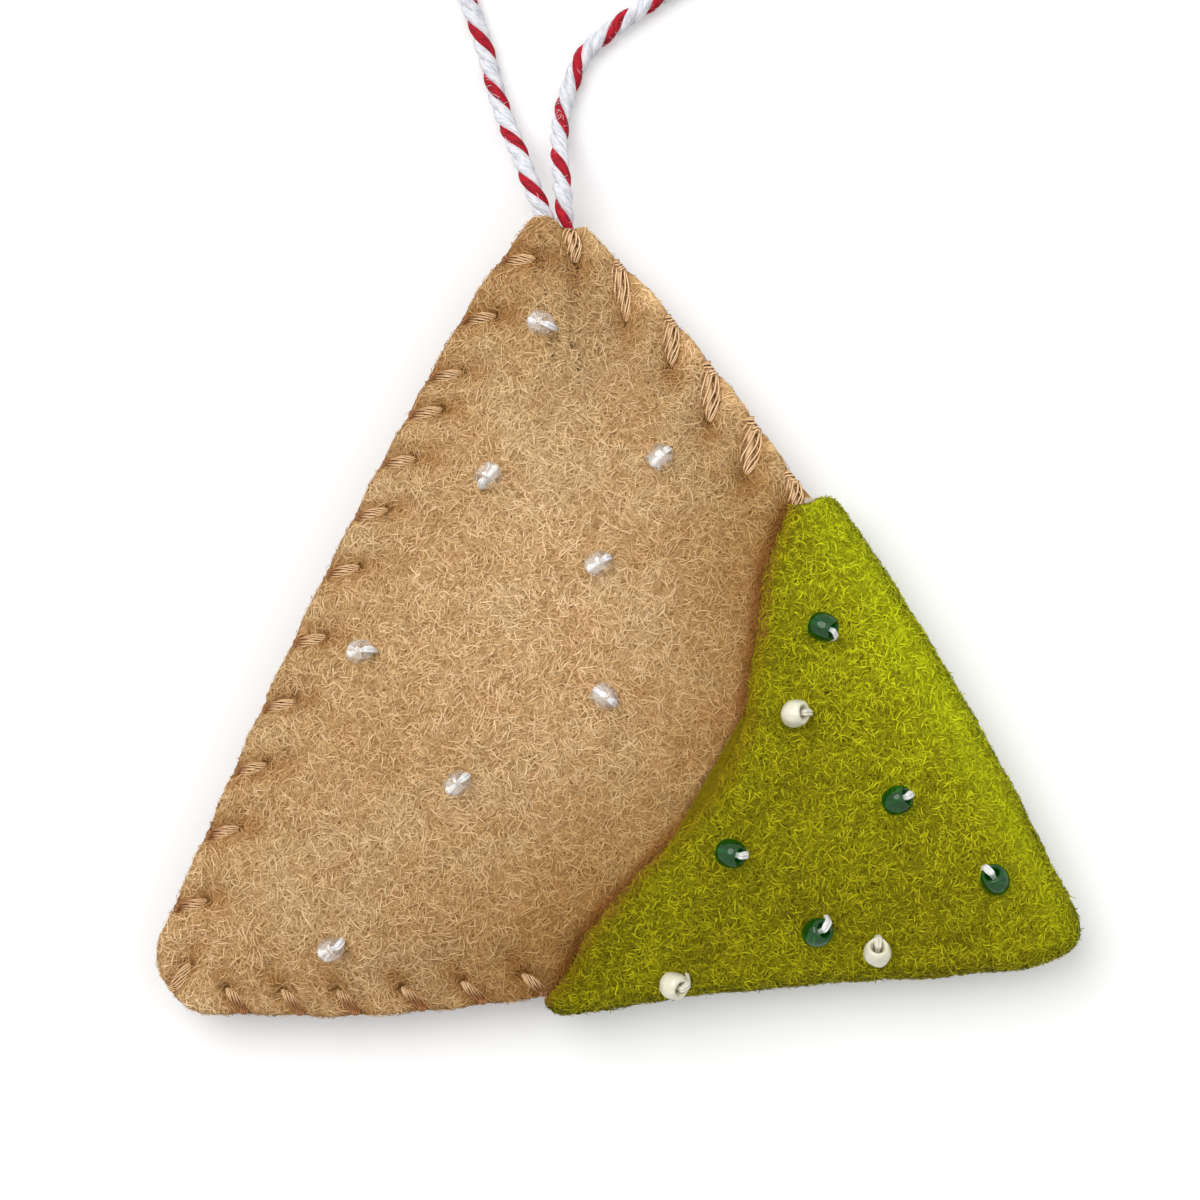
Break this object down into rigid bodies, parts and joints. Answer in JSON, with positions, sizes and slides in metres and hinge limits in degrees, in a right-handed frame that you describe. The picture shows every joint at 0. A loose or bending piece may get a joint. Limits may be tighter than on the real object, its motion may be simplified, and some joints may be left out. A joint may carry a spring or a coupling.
{
  "type": "felt christmas ornament",
  "caption": "Stuffed felt ornament like a corn chip dipped in green felt, with a whip-stitched rim, sewn glass beads and a striped twine loop to hang it by.",
  "frame": {"origin": "on the resting surface, under the middle of the felt body's outline", "axes": "+X along the chip's lower edge, towards its dipped corner; +Y towards the hanging corner and the loop; +Z out of the beaded front"},
  "size_m": [0.0749, 0.1407, 0.0123],
  "materials": {
    "tan_felt": "matte",
    "green_felt": "matte",
    "filling": "matte",
    "copper_floss": "satin",
    "white_thread": "satin",
    "striped_twine": "matte",
    "clear_glass": "gloss",
    "green_glass": "gloss",
    "pearl_glass": "gloss",
    "dried_glue": "gloss"
  },
  "bodies": {
    "ornament": {"front_felt_panel": "tan_felt", "back_felt_panel": "tan_felt", "filling": "filling", "edge_floss": "copper_floss", "dip_felt": "green_felt", "glue_crumb": "dried_glue", "clear_bead_1": "clear_glass", "clear_bead_2": "clear_glass", "clear_bead_3": "clear_glass", "clear_bead_4": "clear_glass", "clear_bead_5": "clear_glass", "clear_bead_6": "clear_glass", "clear_bead_7": "clear_glass", "clear_bead_8": "clear_glass", "green_bead_1": "green_glass", "green_bead_2": "green_glass", "green_bead_3": "green_glass", "green_bead_4": "green_glass", "green_bead_5": "green_glass", "pearl_bead_1": "pearl_glass", "pearl_bead_2": "pearl_glass", "pearl_bead_3": "pearl_glass", "clear_bead_tie_1": "white_thread", "clear_bead_tie_2": "white_thread", "clear_bead_tie_3": "white_thread", "clear_bead_tie_4": "white_thread", "clear_bead_tie_5": "white_thread", "clear_bead_tie_6": "white_thread", "clear_bead_tie_7": "white_thread", "clear_bead_tie_8": "white_thread", "green_bead_tie_1": "white_thread", "green_bead_tie_2": "white_thread", "green_bead_tie_3": "white_thread", "green_bead_tie_4": "white_thread", "green_bead_tie_5": "white_thread", "pearl_bead_tie_1": "white_thread", "pearl_bead_tie_2": "white_thread", "pearl_bead_tie_3": "white_thread", "twine_ends": "striped_twine"},
    "loop": {"hanging_loop": "striped_twine"}
  },
  "joints": [
    {"name": "loop_swing", "type": "hinge", "parent": "ornament", "child": "loop", "pos_m": [-0.0058, 0.0341, 0.004], "axis": [1, 0, 0], "range_deg": [0, 110]}
  ]
}
